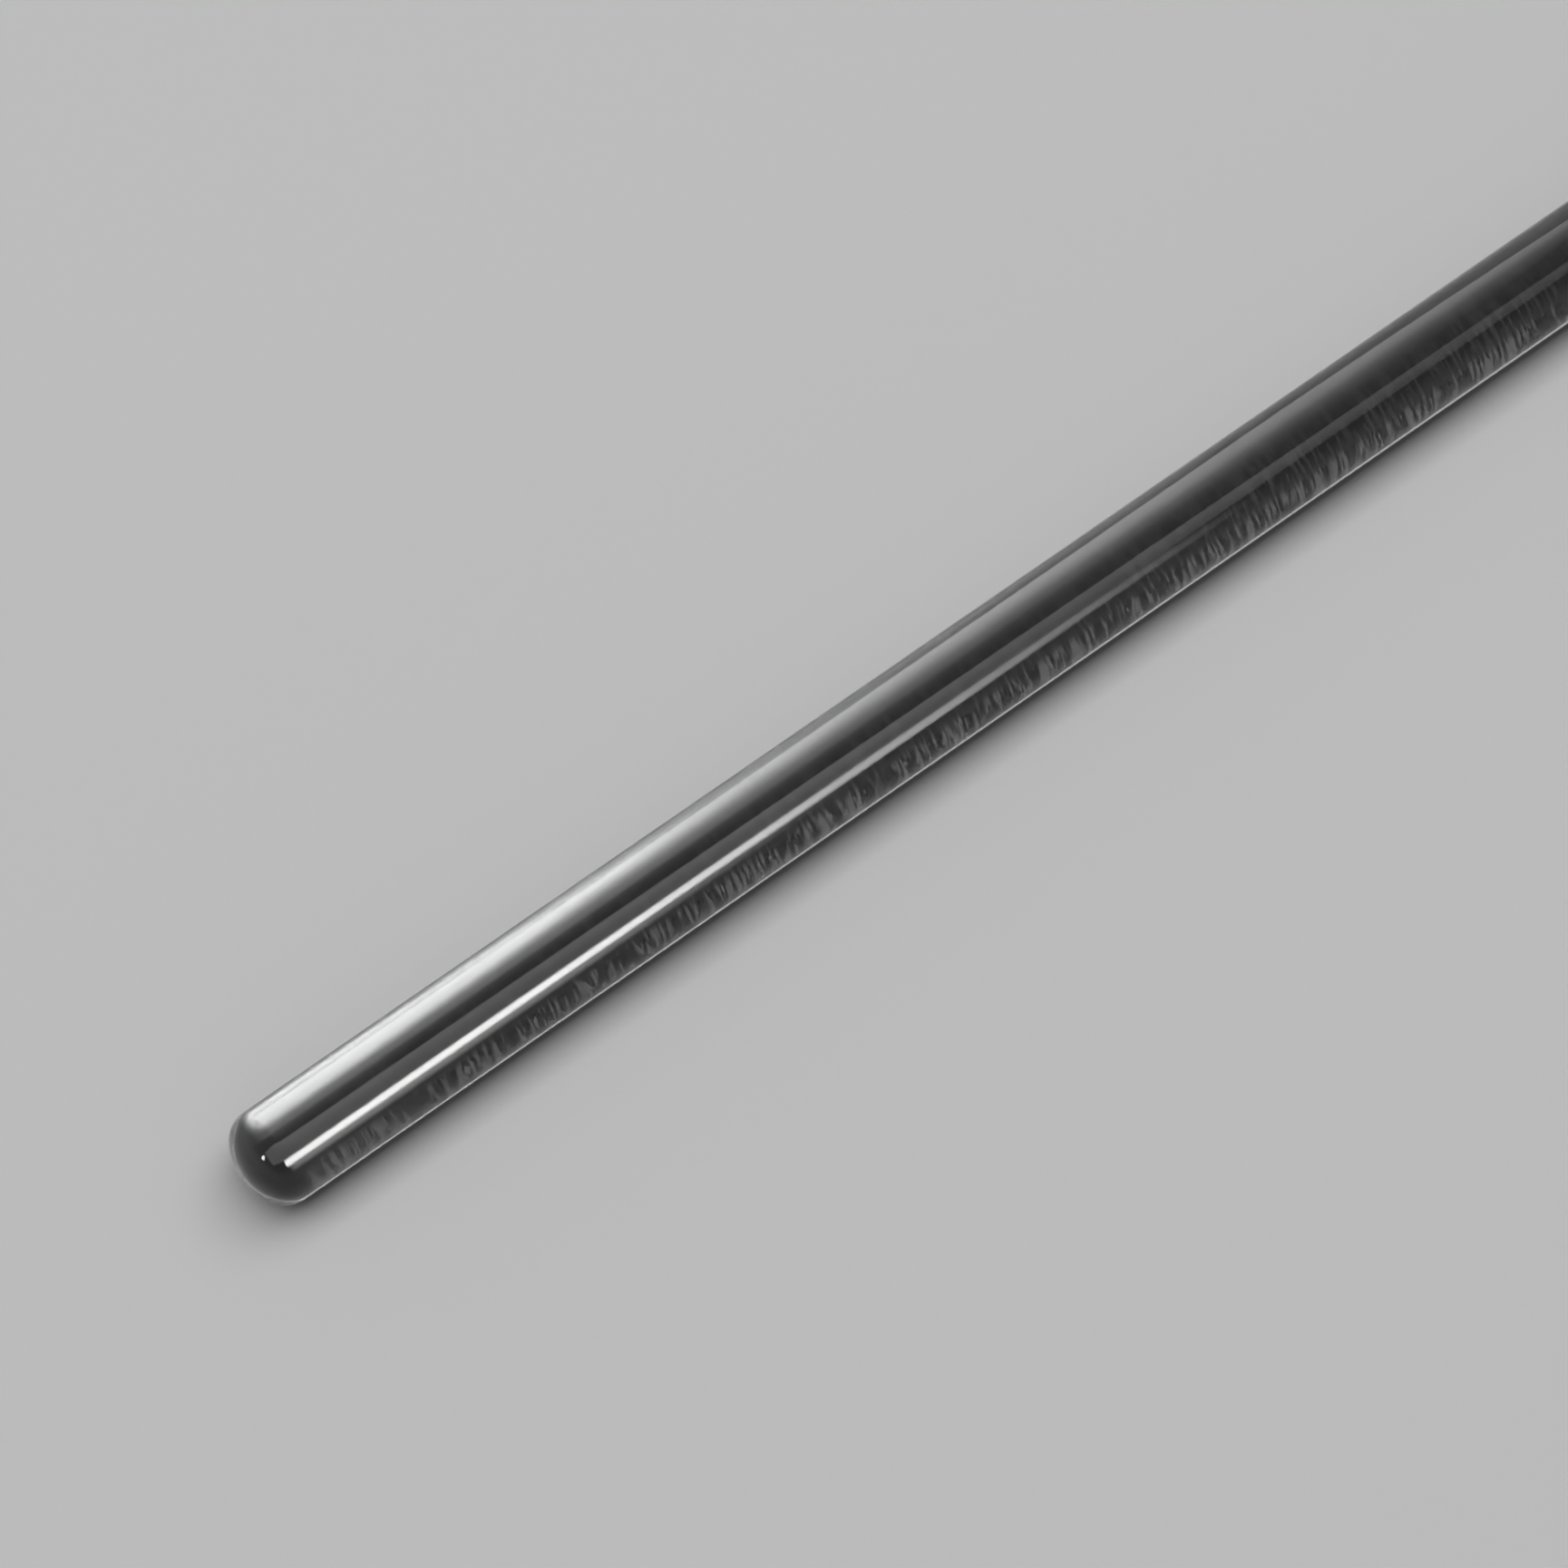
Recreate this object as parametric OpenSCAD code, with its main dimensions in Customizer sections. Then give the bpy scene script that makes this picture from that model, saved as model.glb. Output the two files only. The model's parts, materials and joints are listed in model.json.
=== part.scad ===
// Glass stirring rod
//
// One solid length of drawn borosilicate glass, for stirring a vessel and for guiding a
// pour along it. Each end was cut square and then fire-polished: turned in a flame until
// surface tension drew its sharp rim into a smooth low dome that can't scratch a beaker.
//
// The rod lies along X with the middle of its length at the origin, its stirring end
// towards -X and its holding end towards +X. All sizes are in millimetres.

/* [Rod] */
// Length over both of the domes
rod_length = 200; // [100:5:400]
// Diameter of the drawn glass
rod_diameter = 6; // [3:0.5:12]

/* [Stirring end] */
// How far the dome stands past the straight shank; half the diameter is a full round
stirring_dome_height = 2; // [0.5:0.1:6]

/* [Holding end] */
// How far the dome stands past the straight shank; half the diameter is a full round
holding_dome_height = 2; // [0.5:0.1:6]

/* [Hidden] */

// Segments round the rod in a preview
$fn = 96;

rod_radius = rod_diameter / 2;

// Where each dome leaves the straight shank, along the rod from its middle
stirring_shoulder = -rod_length / 2 + stirring_dome_height;
holding_shoulder = rod_length / 2 - holding_dome_height;

// Clear glass with the faint cool cast that it has through a thick section
clear_glass = [0.86, 0.91, 0.92, 0.45];

// Outer half of a dome's section: a quarter of an ellipse that stands up from the X axis
// and leaves the wall below it without a step or a corner
module dome_section(height) {
    intersection() {
        scale([rod_radius, height])
            circle(r = 1);
        square([rod_radius, height]);
    }
}

// Outer half of the rod's lengthwise section: the axis is Y and the stirring end is down
module rod_section() {
    translate([0, stirring_shoulder])
        square([rod_radius, holding_shoulder - stirring_shoulder]);
    translate([0, holding_shoulder])
        dome_section(holding_dome_height);
    translate([0, stirring_shoulder])
        mirror([0, 1])
            dome_section(stirring_dome_height);
}

// The whole rod: its section turned about the axis, then laid along X
module glass_rod() {
    color(clear_glass)
        rotate([0, 90, 0])
            rotate_extrude()
                rod_section();
}

glass_rod();
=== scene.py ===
"""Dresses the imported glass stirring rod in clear, lightly scuffed glass, and sets it in a plain pale studio.

The rod is one solid piece of drawn glass that lies along X on a pale floor, its stirring end towards -X.
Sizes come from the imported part, in metres.
"""

import json
import logging
import math
from dataclasses import dataclass
from enum import Enum
from typing import Sequence

import bpy
from mathutils import Matrix, Vector


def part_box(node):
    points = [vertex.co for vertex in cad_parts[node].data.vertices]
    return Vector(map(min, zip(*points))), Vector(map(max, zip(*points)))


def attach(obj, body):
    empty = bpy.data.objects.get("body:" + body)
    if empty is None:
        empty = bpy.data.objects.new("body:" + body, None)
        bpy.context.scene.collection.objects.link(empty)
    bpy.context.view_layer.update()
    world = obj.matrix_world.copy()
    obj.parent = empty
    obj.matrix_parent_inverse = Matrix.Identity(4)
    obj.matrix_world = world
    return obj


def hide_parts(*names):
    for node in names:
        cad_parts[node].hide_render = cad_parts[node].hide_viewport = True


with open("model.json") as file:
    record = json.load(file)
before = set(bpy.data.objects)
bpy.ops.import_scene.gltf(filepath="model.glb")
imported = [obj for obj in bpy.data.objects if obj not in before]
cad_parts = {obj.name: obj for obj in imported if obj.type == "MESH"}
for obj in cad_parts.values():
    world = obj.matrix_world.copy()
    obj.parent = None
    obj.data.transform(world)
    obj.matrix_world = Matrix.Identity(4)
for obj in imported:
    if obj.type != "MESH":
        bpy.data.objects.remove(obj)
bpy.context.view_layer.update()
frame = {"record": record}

LOG = logging.getLogger("stirring_rod")

NODE = "glass_rod"
BODY = "root"
MOUNT = "shank"
MILLIMETRE = 0.001
LIGHT_BOUNCES = 32


class RodEnd(Enum):
    """The two ends of the rod, by the way that each one points along X."""

    STIRRING = -1
    HOLDING = 1


def deselect() -> None:
    """Leaves edit mode, if it is on, and selects nothing."""
    if bpy.context.object is not None and bpy.context.object.mode != "OBJECT":
        bpy.ops.object.mode_set(mode="OBJECT")
    bpy.ops.object.select_all(action="DESELECT")


# ---------------------------------------------------------------------------------------------------------
# Shader helpers
# ---------------------------------------------------------------------------------------------------------


class NodeDesk:
    """Adds and links the nodes of one shader tree."""

    def __init__(self, tree: bpy.types.NodeTree) -> None:
        """Takes the tree to work on.

        Args:
            tree: a material's, a world's or a group's node tree.
        """
        self.tree = tree

    def add(self, kind: str, **settings: object) -> bpy.types.Node:
        """Adds one node.

        Args:
            kind: the node's type name, such as ShaderNodeMath.
            settings: values for the node's own properties.

        Returns:
            The new node.
        """
        node = self.tree.nodes.new(kind)
        for name, value in settings.items():
            setattr(node, name, value)
        return node

    def plug(self, socket: bpy.types.NodeSocket, value: object) -> None:
        """Links a socket, or sets it to a constant.

        Args:
            socket: the input to feed.
            value: another node's output, or a constant.
        """
        if isinstance(value, bpy.types.NodeSocket):
            self.tree.links.new(value, socket)
        else:
            socket.default_value = value

    def math(self, operation: str, *values: object) -> bpy.types.NodeSocket:
        """Adds a Math node.

        Args:
            operation: its operation, such as MULTIPLY.
            values: its inputs, each a socket or a number.

        Returns:
            The result's socket.
        """
        node = self.add("ShaderNodeMath", operation=operation)
        for socket, value in zip(node.inputs, values):
            self.plug(socket, value)
        return node.outputs[0]

    def ramp(self, value: object, low: object, high: object) -> bpy.types.NodeSocket:
        """Turns a value into a smooth step from 0 at low to 1 at high.

        Args:
            value: the value to read.
            low: where the step starts.
            high: where the step ends.

        Returns:
            The step's socket.
        """
        node = self.add("ShaderNodeMapRange", interpolation_type="SMOOTHSTEP")
        for name, given in (("Value", value), ("From Min", low), ("From Max", high)):
            self.plug(node.inputs[name], given)
        return node.outputs["Result"]

    def stops(self, value: object, stops: Sequence[tuple[float, float]]) -> bpy.types.NodeSocket:
        """Reads a strength off a row of stops, with a smooth curve through them.

        Args:
            value: the value to read, from 0 to 1.
            stops: each stop's place and strength, both from 0 to 1.

        Returns:
            The strength's socket.
        """
        node = self.add("ShaderNodeValToRGB")
        node.color_ramp.interpolation = "CARDINAL"
        row = node.color_ramp.elements
        while len(row) > 1:
            row.remove(row[-1])
        for place, strength in stops[1:]:
            row.new(place)
        for element, (place, strength) in zip(row, stops):
            element.position = place
            element.color = (strength, strength, strength, 1.0)
        self.plug(node.inputs["Fac"], value)
        return node.outputs["Color"]

    def stretch(self, vector: object, scale: object) -> bpy.types.NodeSocket:
        """Scales a coordinate by a different amount along each axis.

        Args:
            vector: the coordinate's socket.
            scale: three numbers, or a vector socket.

        Returns:
            The scaled coordinate.
        """
        node = self.add("ShaderNodeVectorMath", operation="MULTIPLY")
        self.plug(node.inputs[0], vector)
        self.plug(node.inputs[1], scale)
        return node.outputs[0]

    def noise(self, vector: object, detail: float) -> bpy.types.NodeSocket:
        """Adds a Noise Texture that reads an already scaled coordinate.

        Args:
            vector: the scaled coordinate.
            detail: how many finer layers it has.

        Returns:
            The noise's value, around 0.5.
        """
        node = self.add("ShaderNodeTexNoise", noise_dimensions="3D")
        self.plug(node.inputs["Vector"], vector)
        node.inputs["Scale"].default_value = 1.0
        node.inputs["Detail"].default_value = detail
        return node.outputs["Fac"]

    def grain(self, place: object, along: object, around: object, detail: float) -> bpy.types.NodeSocket:
        """Adds noise whose grain has one size along X and another round it.

        Args:
            place: the coordinate's socket.
            along: the grain's size along X.
            around: its size along Y and Z.
            detail: how many finer layers it has.

        Returns:
            The noise's value, around 0.5.
        """
        scale = self.add("ShaderNodeCombineXYZ")
        self.plug(scale.inputs["X"], self.math("DIVIDE", 1.0, along))
        across = self.math("DIVIDE", 1.0, around)
        self.plug(scale.inputs["Y"], across)
        self.plug(scale.inputs["Z"], across)
        return self.noise(self.stretch(place, scale.outputs[0]), detail)


def new_group(
    name: str, inputs: dict[str, tuple[str, object]], outputs: dict[str, str]
) -> bpy.types.NodeTree:
    """Makes an empty shader node group with its sockets.

    Args:
        name: the group's name.
        inputs: each input's name, with its socket type and its default.
        outputs: each output's name, with its socket type.

    Returns:
        The group's node tree.
    """
    tree = bpy.data.node_groups.new(name, "ShaderNodeTree")
    for label, (kind, default) in inputs.items():
        socket = tree.interface.new_socket(name=label, in_out="INPUT", socket_type=kind)
        if default is not None:
            socket.default_value = default
    for label, kind in outputs.items():
        tree.interface.new_socket(name=label, in_out="OUTPUT", socket_type=kind)
    return tree


# ---------------------------------------------------------------------------------------------------------
# Glass
# ---------------------------------------------------------------------------------------------------------


@dataclass(frozen=True)
class HandlingScuffs:
    """Fine marks that run round the shank, from rolling on benches and against other glass in a drawer.

    A mark shows where its layer of noise stands above a level, and it fades in over a soft rim. Inside a
    patch the level of the fine marks is lower, so they crowd together.
    """

    width: float = 0.00025
    length: float = 0.0021
    level: float = 0.50
    soft: float = 0.18
    patch: float = 0.0050
    patch_level: float = 0.30
    patch_soft: float = 0.35
    patch_drop: float = 0.06
    rare_width: float = 0.00020
    rare_length: float = 0.0008
    rare_level: float = 0.68
    rare_soft: float = 0.12

    def group(self) -> bpy.types.NodeTree:
        """Builds the node group: soft marks that lie across the rod's axis, in patches.

        Returns:
            The group. Fine and Rare run from 0 on clean glass to 1 in a mark.
        """
        tree = new_group(
            "Handling scuffs",
            {
                "Vector": ("NodeSocketVector", None),
                "Mark Width": ("NodeSocketFloat", self.width),
                "Mark Length": ("NodeSocketFloat", self.length),
                "Patch Size": ("NodeSocketFloat", self.patch),
                "Rare Mark Width": ("NodeSocketFloat", self.rare_width),
                "Rare Mark Length": ("NodeSocketFloat", self.rare_length),
            },
            {"Fine": "NodeSocketFloat", "Rare": "NodeSocketFloat"},
        )
        desk = NodeDesk(tree)
        given = desk.add("NodeGroupInput").outputs
        put = desk.add("NodeGroupOutput").inputs
        place = given["Vector"]
        fine = desk.grain(place, given["Mark Width"], given["Mark Length"], detail=1.5)
        rare = desk.grain(place, given["Rare Mark Width"], given["Rare Mark Length"], detail=0.0)
        patch_scale = desk.add("ShaderNodeVectorMath", operation="SCALE")
        desk.plug(patch_scale.inputs[0], place)
        desk.plug(patch_scale.inputs["Scale"], desk.math("DIVIDE", 1.0, given["Patch Size"]))
        patches = desk.noise(patch_scale.outputs[0], detail=1.0)
        patch = desk.ramp(patches, self.patch_level, self.patch_level + self.patch_soft)
        level = desk.math("MULTIPLY_ADD", patch, -self.patch_drop, self.level)
        desk.plug(put["Fine"], desk.ramp(fine, level, desk.math("ADD", level, self.soft)))
        desk.plug(put["Rare"], desk.ramp(rare, self.rare_level, self.rare_level + self.rare_soft))
        return tree


@dataclass(frozen=True)
class DrawLines:
    """Faint ridges that run the length of the rod, left as it was drawn from the melt."""

    length: float = 0.045
    width: float = 0.0009

    def group(self) -> bpy.types.NodeTree:
        """Builds the node group: long, soft ridges along X.

        Returns:
            The group. Height runs from 0 to 1.
        """
        tree = new_group(
            "Draw lines",
            {
                "Vector": ("NodeSocketVector", None),
                "Line Length": ("NodeSocketFloat", self.length),
                "Line Width": ("NodeSocketFloat", self.width),
            },
            {"Height": "NodeSocketFloat"},
        )
        desk = NodeDesk(tree)
        given = desk.add("NodeGroupInput").outputs
        height = desk.grain(given["Vector"], given["Line Length"], given["Line Width"], detail=1.0)
        desk.plug(desk.add("NodeGroupOutput").inputs["Height"], height)
        return tree


@dataclass(frozen=True)
class ClearGlass:
    """Clear borosilicate glass, fire-polished at the ends and scuffed along the shank.

    A scuff is how rough a mark leaves the glass, and a haze is how much of a matt coat it has, which
    catches the light. The worn side has its middle at a bearing, in degrees from +Z towards +Y, with a
    spread each way and a soft edge, and the rest of the rod has the least share of wear. Tip values say
    how the wear grows from the stirring end, and dulled values how far its even haze reaches.
    """

    index: float = 1.473
    tint: tuple[float, float, float, float] = (0.97, 0.98, 0.98, 1.0)
    clean: float = 0.03
    fine_scuff: float = 0.16
    rare_scuff: float = 0.22
    fine_haze: float = 0.70
    rare_haze: float = 0.85
    haze_roughness: float = 0.55
    haze_index: float = 2.2
    worn_bearing: float = -88.0
    worn_spread: float = 32.0
    worn_soft: float = 8.0
    worn_least: float = 0.10
    tip_least: float = 0.7
    tip_run: float = 0.034
    dulled: float = 0.18
    dulled_start: float = 0.0025
    dulled_run: float = 0.010
    draw_depth: float = 0.0000002
    polish_run: float = 0.0015
    scuffs: HandlingScuffs = HandlingScuffs()
    lines: DrawLines = DrawLines()

    def worn_side(self, desk: NodeDesk, place: bpy.types.NodeSocket) -> bpy.types.NodeSocket:
        """Marks the side that the rod was laid down on, which carries most of the scuffs.

        Args:
            desk: the material's tree.
            place: the place on the rod.

        Returns:
            The strength of the wear, 1 on that side and less round the rest.
        """
        flat = desk.stretch(place, (0.0, 1.0, 1.0))
        outward = desk.add("ShaderNodeVectorMath", operation="NORMALIZE")
        desk.plug(outward.inputs[0], flat)
        towards = desk.add("ShaderNodeVectorMath", operation="DOT_PRODUCT")
        desk.plug(towards.inputs[0], outward.outputs[0])
        bearing = math.radians(self.worn_bearing)
        towards.inputs[1].default_value = (0.0, math.sin(bearing), math.cos(bearing))
        edge = math.cos(math.radians(self.worn_spread + self.worn_soft))
        core = math.cos(math.radians(self.worn_spread - self.worn_soft))
        side = desk.ramp(towards.outputs["Value"], edge, core)
        return desk.math("MULTIPLY_ADD", side, 1.0 - self.worn_least, self.worn_least)

    def worn_length(self, desk: NodeDesk, along: bpy.types.NodeSocket) -> bpy.types.NodeSocket:
        """Marks how the scuffs grow from the stirring end towards the grip.

        Args:
            desk: the material's tree.
            along: how far from the stirring end's shoulder a place is.

        Returns:
            The strength of the wear, 1 from the grip on.
        """
        grown = desk.ramp(along, 0.0, self.tip_run)
        return desk.math("MULTIPLY_ADD", grown, 1.0 - self.tip_least, self.tip_least)

    def dull_tip(self, desk: NodeDesk, along: bpy.types.NodeSocket) -> bpy.types.NodeSocket:
        """Marks the glass behind the stirring end, dulled all over by knocking on beakers.

        Args:
            desk: the material's tree.
            along: how far from the stirring end's shoulder a place is.

        Returns:
            The strength of the dull glass.
        """
        clear = desk.ramp(along, self.dulled_start, self.dulled_start + self.dulled_run)
        return desk.math("MULTIPLY_ADD", clear, -self.dulled, self.dulled)

    @staticmethod
    def stronger(desk: NodeDesk, marks: bpy.types.Node, fine: float, rare: float) -> bpy.types.NodeSocket:
        """Scales both kinds of mark and keeps the stronger one.

        Args:
            desk: the material's tree.
            marks: the placed group of handling scuffs.
            fine: the strength of a fine mark.
            rare: the strength of a rare mark.

        Returns:
            The stronger mark's value.
        """
        low = desk.math("MULTIPLY", marks.outputs["Fine"], fine)
        return desk.math("MAXIMUM", low, desk.math("MULTIPLY", marks.outputs["Rare"], rare))

    def material(self, shoulder: float) -> bpy.types.Material:
        """Builds the material.

        Args:
            shoulder: how far from the middle of the rod the fire-polished glass starts, at both ends.

        Returns:
            The finished material.
        """
        material = bpy.data.materials.new("scuffed_clear_glass")
        material.use_nodes = True
        desk = NodeDesk(material.node_tree)
        glass = material.node_tree.nodes["Principled BSDF"]
        glass.inputs["Base Color"].default_value = self.tint
        glass.inputs["Transmission Weight"].default_value = 1.0
        glass.inputs["IOR"].default_value = self.index
        place = desk.add("ShaderNodeTexCoord").outputs["Object"]
        marks = desk.add("ShaderNodeGroup", node_tree=self.scuffs.group())
        desk.plug(marks.inputs["Vector"], place)
        apart = desk.add("ShaderNodeSeparateXYZ")
        desk.plug(apart.inputs[0], place)
        from_middle = desk.math("ABSOLUTE", apart.outputs["X"])
        on_shank = desk.math("SUBTRACT", 1.0, desk.ramp(from_middle, shoulder - self.polish_run, shoulder))
        along = desk.math("ADD", apart.outputs["X"], shoulder)
        side = desk.math("MULTIPLY", self.worn_side(desk, place), on_shank)
        worn = desk.math("MULTIPLY", side, self.worn_length(desk, along))
        rough = self.stronger(desk, marks, self.fine_scuff, self.rare_scuff)
        bare = desk.math("MULTIPLY", on_shank, self.clean)
        desk.plug(glass.inputs["Roughness"], desk.math("MAXIMUM", desk.math("MULTIPLY", rough, worn), bare))
        haze = desk.math("MULTIPLY", self.stronger(desk, marks, self.fine_haze, self.rare_haze), worn)
        dull = desk.math("MULTIPLY", self.dull_tip(desk, along), side)
        desk.plug(glass.inputs["Coat Weight"], desk.math("ADD", haze, dull))
        glass.inputs["Coat Roughness"].default_value = self.haze_roughness
        glass.inputs["Coat IOR"].default_value = self.haze_index
        ridges = desk.add("ShaderNodeGroup", node_tree=self.lines.group())
        desk.plug(ridges.inputs["Vector"], place)
        bump = desk.add("ShaderNodeBump")
        bump.inputs["Strength"].default_value = 1.0
        bump.inputs["Distance"].default_value = self.draw_depth
        desk.plug(bump.inputs["Height"], desk.math("MULTIPLY", ridges.outputs["Height"], on_shank))
        desk.plug(glass.inputs["Normal"], bump.outputs["Normal"])
        return material


# ---------------------------------------------------------------------------------------------------------
# The rod
# ---------------------------------------------------------------------------------------------------------


@dataclass
class StirringRod:
    """The one piece: a solid glass rod with a low dome on each end.

    An end is where a dome's crown is along X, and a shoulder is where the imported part's dome leaves the
    straight wall. A roundness of 2 makes the dome an ellipse, and more makes it leave the wall softer.
    """

    radius: float
    low_end: float
    high_end: float
    low_shoulder: float
    high_shoulder: float
    lead_in: float = 0.0004
    roundness: float = 2.5
    around: int = 256
    dome_rings: int = 48
    shank_rings: int = 64
    merge_distance: float = 1e-7
    finish: ClearGlass = ClearGlass()

    @classmethod
    def from_frame(cls) -> "StirringRod":
        """Reads the rod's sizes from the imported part.

        Returns:
            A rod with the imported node's length and radius, and the shank mount's wall.
        """
        low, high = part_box(NODE)
        shank = next(m for m in frame["record"]["mounts"] if m["name"] == MOUNT)
        half_wall = shank["dims"]["length_mm"] * MILLIMETRE / 2
        middle = shank["pos_m"][0]
        radius = shank["dims"]["r_mm"] * MILLIMETRE
        return cls(radius, low.x, high.x, middle - half_wall, middle + half_wall)

    def section(self) -> list[tuple[float, float]]:
        """Lays out the lengthwise section, from the stirring end's crown to the holding end's.

        Melted glass draws itself into its dome without a break, so each dome starts a little before
        its shoulder, and its curve tightens from nothing at the wall.

        Returns:
            Pairs of a place along X and a distance from the axis.
        """
        points: list[tuple[float, float]] = []
        for end, shoulder, crown in (
            (RodEnd.STIRRING, self.low_shoulder, self.low_end),
            (RodEnd.HOLDING, self.high_shoulder, self.high_end),
        ):
            start = shoulder - end.value * self.lead_in
            dome = []
            for step in range(self.dome_rings + 1):
                turn = math.pi / 2 * step / self.dome_rings
                run = max(math.cos(turn), 0.0) ** (2.0 / self.roundness)
                dome.append((start + (crown - start) * run, self.radius * math.sin(turn)))
            if end is RodEnd.HOLDING:
                low = points[-1][0]
                wall = start - low
                for ring in range(1, self.shank_rings):
                    points.append((low + wall * ring / self.shank_rings, self.radius))
                dome.reverse()
            points += dome
        return points

    def turn(self) -> bpy.types.Object:
        """Models the rod: its half section, drawn by extruding one vertex, spun about the axis.

        Returns:
            The new piece.
        """
        deselect()
        points = self.section()
        bpy.ops.mesh.primitive_plane_add(size=self.radius, location=(points[0][0], 0.0, 0.0))
        rod = bpy.context.object
        rod.name = rod.data.name = "drawn_glass_rod"
        bpy.ops.object.transform_apply(location=True)
        bpy.ops.object.mode_set(mode="EDIT")
        bpy.ops.mesh.select_mode(type="VERT")
        bpy.ops.mesh.select_all(action="SELECT")
        bpy.ops.mesh.merge(type="CENTER")
        for (x0, r0), (x1, r1) in zip(points, points[1:]):
            bpy.ops.mesh.extrude_region_move(TRANSFORM_OT_translate={"value": (x1 - x0, 0.0, r1 - r0)})
        bpy.ops.mesh.select_all(action="SELECT")
        bpy.ops.mesh.spin(steps=self.around, angle=2 * math.pi, center=(0, 0, 0), axis=(1, 0, 0))
        bpy.ops.mesh.select_all(action="SELECT")
        bpy.ops.mesh.remove_doubles(threshold=self.merge_distance)
        bpy.ops.mesh.normals_make_consistent(inside=False)
        bpy.ops.object.mode_set(mode="OBJECT")
        bpy.ops.object.shade_smooth()
        return rod

    def build(self) -> bpy.types.Object:
        """Models and dresses the rod, and puts it on the frame.

        Returns:
            The finished piece.
        """
        rod = self.turn()
        shoulder = min(-self.low_shoulder, self.high_shoulder)
        rod.data.materials.append(self.finish.material(shoulder))
        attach(rod, BODY)
        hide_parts(NODE)
        LOG.info("%s: %d vertices, %d faces", rod.name, len(rod.data.vertices), len(rod.data.polygons))
        return rod


# ---------------------------------------------------------------------------------------------------------
# Studio
# ---------------------------------------------------------------------------------------------------------


@dataclass(frozen=True)
class PaleBackdrop:
    """The floor and the world round it, both the same pale grey.

    Near and far are the distances from the rod, in metres, between which the floor fades into the
    world's own colour. Horizon and zenith are the heights between which the world grows dim.
    """

    colour: tuple[float, float, float, float] = (0.60, 0.60, 0.60, 1.0)
    sky_light: float = 0.20
    ceiling: float = 0.2
    half_width: float = 12.0
    horizon: float = 0.1
    zenith: float = 0.8
    near: float = 0.35
    far: float = 1.10
    roughness: float = 0.85

    def seen_by_eye(self, desk: NodeDesk) -> bpy.types.NodeSocket:
        """Marks the rays that show the backdrop: the camera's, and those that glass bends or mirrors.

        Args:
            desk: the tree to work in.

        Returns:
            1 for such a ray and 0 for one that only brings light.
        """
        path = desk.add("ShaderNodeLightPath").outputs
        seen = desk.math("MAXIMUM", path["Is Camera Ray"], path["Is Glossy Ray"])
        return desk.math("MAXIMUM", seen, path["Is Transmission Ray"])

    def world(self) -> None:
        """Makes the world: pale at the horizon, dim overhead, and a weak even light on everything."""
        world = bpy.data.worlds.new("pale_room")
        bpy.context.scene.world = world
        world.use_nodes = True
        desk = NodeDesk(world.node_tree)
        sky = world.node_tree.nodes["Background"]
        sky.inputs["Color"].default_value = self.colour
        towards = desk.add("ShaderNodeSeparateXYZ")
        desk.plug(towards.inputs[0], desk.add("ShaderNodeTexCoord").outputs["Generated"])
        overhead = desk.ramp(towards.outputs["Z"], self.horizon, self.zenith)
        shown = desk.math("MULTIPLY_ADD", overhead, self.ceiling - 1.0, 1.0)
        light = self.sky_light / self.colour[0]
        seen = self.seen_by_eye(desk)
        lit = desk.math("MULTIPLY", desk.math("SUBTRACT", 1.0, seen), light)
        desk.plug(sky.inputs["Strength"], desk.math("MULTIPLY_ADD", seen, shown, lit))

    def floor(self, height: float) -> bpy.types.Object:
        """Lays the floor, which fades into the world's colour far from the rod.

        Args:
            height: the floor's place along Z.

        Returns:
            The floor.
        """
        deselect()
        bpy.ops.mesh.primitive_plane_add(size=2 * self.half_width, location=(0.0, 0.0, height))
        floor = bpy.context.object
        floor.name = "floor"
        material = bpy.data.materials.new("pale_floor")
        material.use_nodes = True
        desk = NodeDesk(material.node_tree)
        board = material.node_tree.nodes["Principled BSDF"]
        board.inputs["Base Color"].default_value = self.colour
        board.inputs["Roughness"].default_value = self.roughness
        board.inputs["Specular IOR Level"].default_value = 0.0
        distance = desk.add("ShaderNodeVectorMath", operation="LENGTH")
        desk.plug(distance.inputs[0], desk.add("ShaderNodeTexCoord").outputs["Object"])
        away = desk.ramp(distance.outputs["Value"], self.near, self.far)
        glow = desk.add("ShaderNodeEmission")
        glow.inputs["Color"].default_value = self.colour
        blend = desk.add("ShaderNodeMixShader")
        desk.plug(blend.inputs["Fac"], desk.math("MULTIPLY", away, self.seen_by_eye(desk)))
        desk.plug(blend.inputs[1], board.outputs["BSDF"])
        desk.plug(blend.inputs[2], glow.outputs["Emission"])
        desk.plug(material.node_tree.nodes["Material Output"].inputs["Surface"], blend.outputs["Shader"])
        floor.data.materials.append(material)
        return floor


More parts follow.
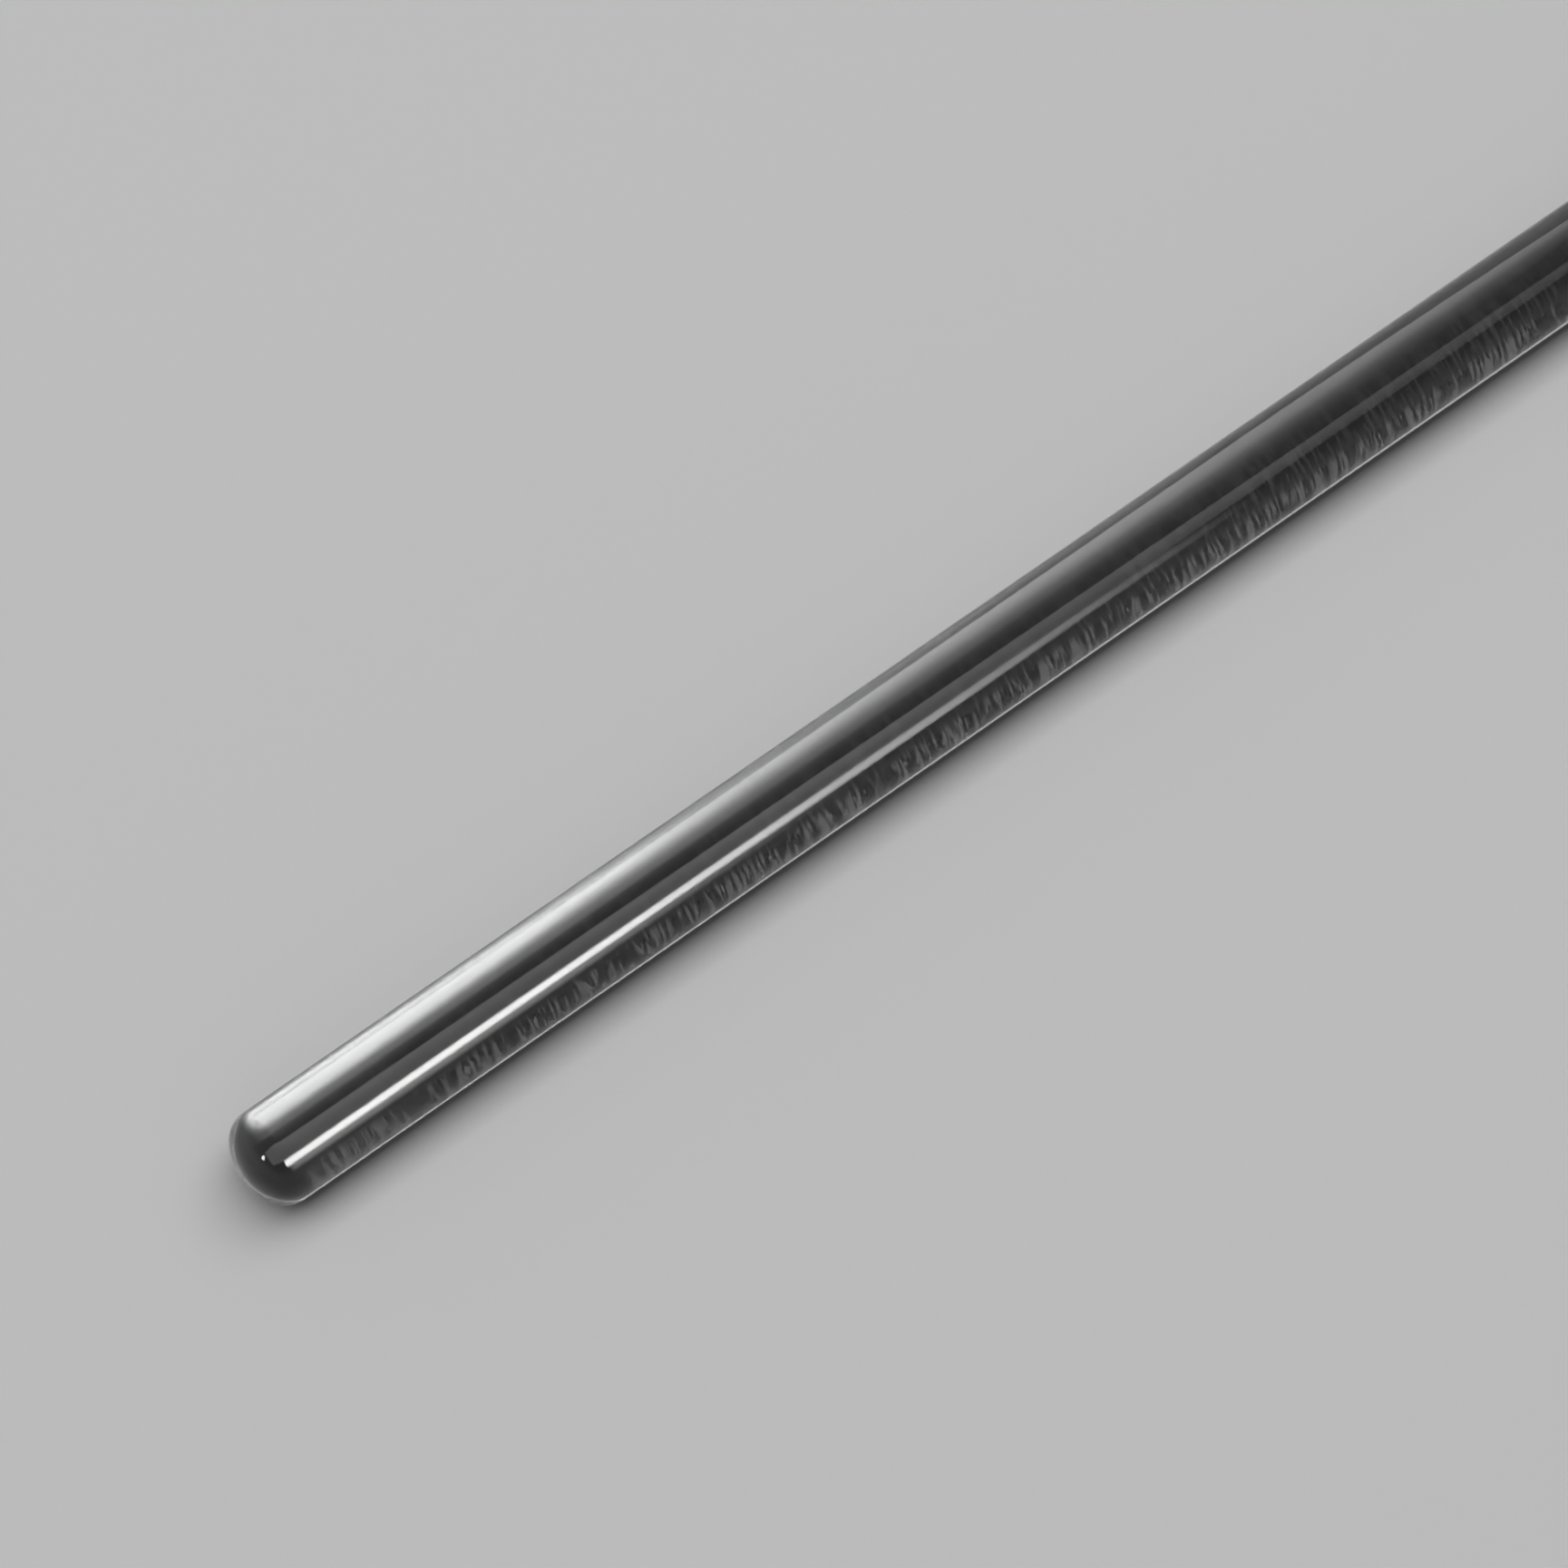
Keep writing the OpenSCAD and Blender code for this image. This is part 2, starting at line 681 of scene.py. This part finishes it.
@dataclass(frozen=True)
class Softbox:
    """One soft studio lamp that faces the rod's axis, with its own glow over its face.

    A bearing is the lamp's angle round the rod, in degrees from straight overhead, towards +Y, and a
    lean is how far it stands off towards +X from square on. A glow is a row of stops over the face, each
    a place from 0 to 1 and a strength: along runs with the rod, and across runs towards +Y. A slant
    moves the across glow over as it runs along, as a share of the width, and is nothing at slant_from.
    """

    name: str
    bearing: float
    distance: float
    middle: float
    length: float
    width: float
    radiance: float
    across: tuple[tuple[float, float], ...] = ((0.0, 1.0),)
    along: tuple[tuple[float, float], ...] = ((0.0, 1.0),)
    slant: float = 0.0
    slant_from: float = 0.5
    lean: float = 0.0
    oval: bool = False
    lights_room: bool = True
    mirrored: bool = True
    seen_through: bool = True

    def glow(self, lamp: bpy.types.AreaLight) -> None:
        """Shapes the light over the lamp's face.

        Args:
            lamp: the lamp's data.
        """
        lamp.use_nodes = True
        desk = NodeDesk(lamp.node_tree)
        face = desk.add("ShaderNodeSeparateXYZ")
        desk.plug(face.inputs[0], desk.add("ShaderNodeTexCoord").outputs["Object"])
        run = desk.math("MULTIPLY_ADD", face.outputs["X"], 1.0 / self.length, 0.5)
        start = 0.5 - self.slant * self.slant_from
        level = desk.math("MULTIPLY_ADD", face.outputs["Y"], 1.0 / self.width, start)
        rise = desk.math("MULTIPLY_ADD", run, self.slant, level)
        strength = desk.math("MULTIPLY", desk.stops(run, self.along), desk.stops(rise, self.across))
        desk.plug(lamp.node_tree.nodes["Emission"].inputs["Strength"], strength)

    def hang(self) -> bpy.types.Object:
        """Hangs the lamp.

        Returns:
            The lamp. Its length runs along the rod.
        """
        lamp = bpy.data.lights.new(self.name, "AREA")
        lamp.shape = "ELLIPSE" if self.oval else "RECTANGLE"
        lamp.size = self.length
        lamp.size_y = self.width
        lamp.energy = self.radiance * math.pi * self.length * self.width
        self.glow(lamp)
        holder = bpy.data.objects.new(self.name, lamp)
        bpy.context.scene.collection.objects.link(holder)
        tilt, lean = math.radians(self.bearing), math.radians(self.lean)
        square = Vector((0.0, math.sin(tilt), math.cos(tilt)))
        back = square * math.cos(lean) + Vector((math.sin(lean), 0.0, 0.0))
        across = square.cross(Vector((1.0, 0.0, 0.0)))
        turned = Matrix((across.cross(back), across, back)).transposed()
        place = Vector((self.middle, 0.0, 0.0)) + back * self.distance
        holder.matrix_world = Matrix.Translation(place) @ turned.to_4x4()
        holder.visible_camera = False
        holder.visible_diffuse = self.lights_room
        holder.visible_glossy = self.mirrored
        holder.visible_transmission = self.seen_through
        return holder


@dataclass(frozen=True)
class StudioCamera:
    """The camera, which looks down on the stirring end with the rod running away to the upper right."""

    azimuth: float = -37.0
    elevation: float = 66.3
    distance: float = 0.4129
    from_tip: float = 0.03878
    aside: float = 0.000977
    lens: float = 165.1

    def mount(self, tip: float) -> bpy.types.Object:
        """Mounts the camera.

        Args:
            tip: where the stirring end's crown is along X.

        Returns:
            The camera.
        """
        camera = bpy.data.objects.new("camera", bpy.data.cameras.new("camera"))
        bpy.context.scene.collection.objects.link(camera)
        camera.data.lens = self.lens
        turn, rise = math.radians(self.azimuth), math.radians(self.elevation)
        back = Vector((math.sin(turn) * math.cos(rise), -math.cos(turn) * math.cos(rise), math.sin(rise)))
        right = Vector((math.cos(turn), math.sin(turn), 0.0))
        place = Vector((tip + self.from_tip, self.aside, 0.0)) + back * self.distance
        turned = Matrix((right, back.cross(right), back)).transposed()
        camera.matrix_world = Matrix.Translation(place) @ turned.to_4x4()
        camera.data.clip_start = self.distance / 100
        camera.data.clip_end = self.distance * 100
        bpy.context.scene.camera = camera
        return camera


# How the long strip lamp glows across its face, which both of its copies share
STRIP_GLOW = (
    (0.0, 0.0), (0.41, 0.0), (0.47, 0.15), (0.53, 0.50), (0.60, 0.93), (0.65, 1.0), (0.79, 1.0),
    (0.86, 0.74), (0.93, 0.28), (1.0, 0.05),
)

LAMPS: tuple[Softbox, ...] = (
    Softbox(
        "overhead_softbox", bearing=6.0, distance=0.9, middle=0.0, length=1.6, width=0.66, radiance=2.42,
        mirrored=False, seen_through=False,
    ),
    Softbox(
        "ceiling_card", bearing=-19.6, distance=0.9, middle=-0.05, length=1.6, width=0.655, radiance=2.0,
        across=((0.0, 0.65), (0.2, 0.65), (0.5, 0.75), (0.8, 1.0), (0.90, 1.0), (0.96, 0.0), (1.0, 0.0)),
        along=((0.0, 1.0), (0.625, 1.0), (0.6675, 0.84), (0.689, 0.72), (0.711, 0.58), (0.7375, 0.45),
               (1.0, 0.4)),
        slant=2.16, slant_from=0.569,
        lights_room=False, seen_through=False,
    ),
    Softbox(
        "rim_card", bearing=-36.6, distance=0.9, middle=0.25, length=1.0, width=0.13, radiance=1.7,
        across=((0.0, 0.0), (0.25, 1.0), (0.75, 1.0), (1.0, 0.0)),
        along=((0.0, 1.0), (0.37, 1.0), (0.42, 0.7), (0.47, 0.4), (0.52, 0.15), (0.60, 0.05), (1.0, 0.0)),
        lights_room=False, mirrored=False,
    ),
    Softbox(
        "side_softbox", bearing=46.5, distance=0.6, middle=0.115, length=0.27, width=1.06, radiance=6.5,
        across=((0.0, 0.0), (0.14, 0.045), (0.20, 0.09), (0.35, 0.19), (0.48, 0.41), (0.62, 0.82),
                (0.72, 0.90), (0.81, 0.93), (0.90, 0.88), (1.0, 0.80)),
        along=((0.0, 1.0), (0.205, 1.0), (0.255, 0.92), (0.355, 0.85), (0.455, 0.70), (0.555, 0.62),
               (0.655, 0.58), (0.755, 0.47), (1.0, 0.35)),
        lights_room=False, seen_through=False,
    ),
    Softbox(
        "strip_light", bearing=-56.0, distance=0.45, middle=0.005, length=0.25, width=0.30, radiance=24.0,
        across=STRIP_GLOW,
        along=((0.0, 1.0), (0.513, 1.0), (0.596, 0.84), (0.687, 0.47), (0.779, 0.255), (0.870, 0.11),
               (0.966, 0.0)),
        lights_room=False, seen_through=False,
    ),
    Softbox(
        "band_light", bearing=-56.0, distance=0.46, middle=0.035, length=0.19, width=0.30, radiance=27.4,
        across=STRIP_GLOW,
        along=((0.0, 0.0), (0.08, 0.0), (0.10, 0.7), (0.12, 1.0), (0.20, 1.0), (0.27, 0.95), (0.33, 0.80),
               (0.39, 0.67), (0.45, 0.47), (0.51, 0.375), (0.571, 0.264), (0.631, 0.21), (0.692, 0.14),
               (0.813, 0.07), (0.93, 0.04), (1.0, 0.03)),
        lights_room=False, mirrored=False,
    ),
    Softbox(
        "strip_skirt", bearing=-64.0, distance=0.45, middle=-0.01, length=0.14, width=0.216, radiance=4.6,
        across=((0.0, 0.0), (0.12, 0.03), (0.22, 0.19), (0.37, 0.50), (0.52, 0.81), (0.67, 1.0), (0.77, 0.81),
                (0.87, 0.48), (1.0, 0.1)),
        along=((0.0, 0.25), (0.194, 0.4), (0.297, 0.65), (0.40, 1.0), (0.657, 1.0), (0.829, 0.5), (1.0, 0.0)),
        lights_room=False, seen_through=False,
    ),
    Softbox(
        "strip_tail", bearing=-56.5, distance=0.44, middle=0.07, length=0.10, width=0.075, radiance=4.0,
        across=((0.0, 0.0), (0.35, 1.0), (0.65, 1.0), (1.0, 0.0)),
        along=((0.0, 0.0), (0.12, 0.2), (0.22, 0.85), (0.34, 1.0), (0.45, 1.0), (0.55, 0.7), (0.66, 0.35),
               (0.89, 0.1), (1.0, 0.0)),
        lights_room=False, seen_through=False,
    ),
    Softbox(
        "end_lamp", bearing=-5.0, lean=-53.0, distance=0.5, middle=-0.1, length=0.14, width=0.066,
        radiance=18.0, oval=True, lights_room=False, seen_through=False,
    ),
)


def main() -> None:
    """Builds the rod and its studio."""
    logging.basicConfig(level=logging.INFO, format="%(name)s: %(message)s")
    rod = StirringRod.from_frame()
    rod.build()
    backdrop = PaleBackdrop()
    backdrop.world()
    backdrop.floor(-rod.radius)
    for lamp in LAMPS:
        lamp.hang()
    StudioCamera().mount(rod.low_end)
    scene = bpy.context.scene
    scene.view_settings.view_transform = "Standard"
    scene.cycles.caustics_refractive = False
    scene.cycles.caustics_reflective = False
    scene.cycles.max_bounces = LIGHT_BOUNCES
    scene.cycles.glossy_bounces = LIGHT_BOUNCES
    scene.cycles.transmission_bounces = LIGHT_BOUNCES


if __name__ == "__main__":
    main()
